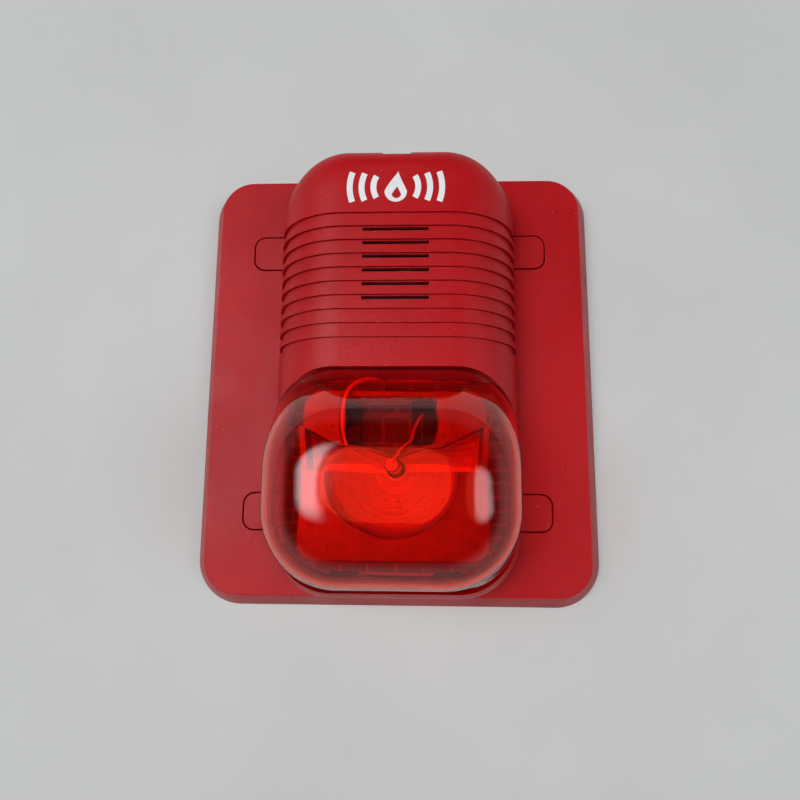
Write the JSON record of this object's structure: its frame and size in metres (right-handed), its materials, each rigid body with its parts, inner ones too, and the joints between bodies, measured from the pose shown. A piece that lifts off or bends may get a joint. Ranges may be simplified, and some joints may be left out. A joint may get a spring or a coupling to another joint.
{
  "type": "horn strobe",
  "caption": "Red wall-mount fire alarm horn strobe: flanged mounting plate, clip-on ribbed horn housing, clear red strobe dome over a flash tube and reflector.",
  "frame": {"origin": "centre of the plate's back face, which rests on the wall", "axes": "+Z out of the wall, +Y up the wall with the horn grille above the strobe dome, +X to the right of someone facing it"},
  "size_m": [0.127, 0.143, 0.0587],
  "materials": {
    "red_plastic": "semi-gloss moulded plastic",
    "clear_red_plastic": "clear tinted polycarbonate",
    "mirror_coating": "vacuum-metallised plastic",
    "tube_glass": "clear glass",
    "bright_wire": "bright tinned wire",
    "black_plastic": "moulded, matt",
    "sounder_plastic": "moulded, matt",
    "brass": "rolled",
    "ceramic": "fired ceramic, silvered",
    "red_lead": "wire insulation",
    "black_lead": "wire insulation",
    "board_green": "solder mask",
    "capacitor_sleeve": "shrink sleeve",
    "component_black": "moulded epoxy",
    "transformer_tape": "polyester tape",
    "plated_steel": "zinc plated",
    "slider_white": "moulded",
    "label_paper": "satin film"
  },
  "bodies": {
    "plate": {"mounting_plate": "red_plastic"},
    "latch": {"latch_tongue": "red_plastic"},
    "housing": {"housing_shell": "red_plastic", "lens": "clear_red_plastic", "reflector": "mirror_coating", "flash_tube": "tube_glass", "tube_cap_front": "bright_wire", "tube_cap_rear": "bright_wire", "contact_clip_left": "black_plastic", "contact_clip_right": "black_plastic", "trigger_wire": "bright_wire", "tube_lead": "bright_wire", "sounder_cup": "sounder_plastic", "sounder_disc": "brass", "sounder_ceramic": "ceramic", "sounder_retaining_ring": "black_plastic", "sounder_wire_red": "red_lead", "sounder_wire_black": "black_lead", "circuit_board": "board_green", "flash_capacitor": "capacitor_sleeve", "trigger_transformer": "transformer_tape", "power_inductor": "component_black", "switching_transistor": "component_black", "controller_chip": "component_black", "filter_capacitor": "capacitor_sleeve", "rear_cover": "black_plastic", "rear_screw_1": "plated_steel", "rear_screw_2": "plated_steel", "rear_screw_3": "plated_steel", "rear_screw_4": "plated_steel", "rear_label": "label_paper", "terminal_block": "black_plastic", "terminal_contact_1": "brass", "terminal_contact_2": "brass", "terminal_contact_3": "brass", "terminal_contact_4": "brass", "switch_base": "black_plastic"},
    "clamp_1": {"clamp_plate_1": "plated_steel"},
    "screw_1": {"terminal_screw_1": "plated_steel"},
    "clamp_2": {"clamp_plate_2": "plated_steel"},
    "screw_2": {"terminal_screw_2": "plated_steel"},
    "clamp_3": {"clamp_plate_3": "plated_steel"},
    "screw_3": {"terminal_screw_3": "plated_steel"},
    "clamp_4": {"clamp_plate_4": "plated_steel"},
    "screw_4": {"terminal_screw_4": "plated_steel"},
    "slider_1": {"switch_slider_1": "slider_white"},
    "slider_2": {"switch_slider_2": "slider_white"},
    "slider_3": {"switch_slider_3": "slider_white"}
  },
  "joints": [
    {"name": "housing_tilt", "type": "hinge", "parent": "plate", "child": "housing", "pos_m": [0, -0.0668, 0.008], "axis": [1, 0, 0], "range_deg": [0, 20]},
    {"name": "latch_flex", "type": "hinge", "parent": "plate", "child": "latch", "pos_m": [0, 0.0604, 0.0083], "axis": [1, 0, 0], "range_deg": [0, 6], "stiffness_Nm_per_rad": 0.8, "deforming": ["latch_tongue"]},
    {"name": "terminal_clamp_1", "type": "slide", "parent": "housing", "child": "clamp_1", "axis": [0, 0, 1], "range_m": [0, 0.0014]},
    {"name": "terminal_turn_1", "type": "hinge", "parent": "clamp_1", "child": "screw_1", "pos_m": [-0.01143, -0.0235, 0.004], "axis": [0, 0, 1], "range_deg": [0, 636]},
    {"name": "terminal_clamp_2", "type": "slide", "parent": "housing", "child": "clamp_2", "axis": [0, 0, 1], "range_m": [0, 0.0014]},
    {"name": "terminal_turn_2", "type": "hinge", "parent": "clamp_2", "child": "screw_2", "pos_m": [-0.00381, -0.0235, 0.004], "axis": [0, 0, 1], "range_deg": [0, 636]},
    {"name": "terminal_clamp_3", "type": "slide", "parent": "housing", "child": "clamp_3", "axis": [0, 0, 1], "range_m": [0, 0.0014]},
    {"name": "terminal_turn_3", "type": "hinge", "parent": "clamp_3", "child": "screw_3", "pos_m": [0.00381, -0.0235, 0.004], "axis": [0, 0, 1], "range_deg": [0, 636]},
    {"name": "terminal_clamp_4", "type": "slide", "parent": "housing", "child": "clamp_4", "axis": [0, 0, 1], "range_m": [0, 0.0014]},
    {"name": "terminal_turn_4", "type": "hinge", "parent": "clamp_4", "child": "screw_4", "pos_m": [0.01143, -0.0235, 0.004], "axis": [0, 0, 1], "range_deg": [0, 636]},
    {"name": "switch_slide_1", "type": "slide", "parent": "housing", "child": "slider_1", "axis": [1, 0, 0], "range_m": [0, 0.0038]},
    {"name": "switch_slide_2", "type": "slide", "parent": "housing", "child": "slider_2", "axis": [1, 0, 0], "range_m": [0, 0.0038]},
    {"name": "switch_slide_3", "type": "slide", "parent": "housing", "child": "slider_3", "axis": [1, 0, 0], "range_m": [0, 0.0038]}
  ],
  "couplings": [
    {"joint": "terminal_turn_1", "follows": "terminal_clamp_1", "rad_per_m": 7913.3},
    {"joint": "terminal_turn_2", "follows": "terminal_clamp_2", "rad_per_m": 7913.3},
    {"joint": "terminal_turn_3", "follows": "terminal_clamp_3", "rad_per_m": 7913.3},
    {"joint": "terminal_turn_4", "follows": "terminal_clamp_4", "rad_per_m": 7913.3}
  ]
}
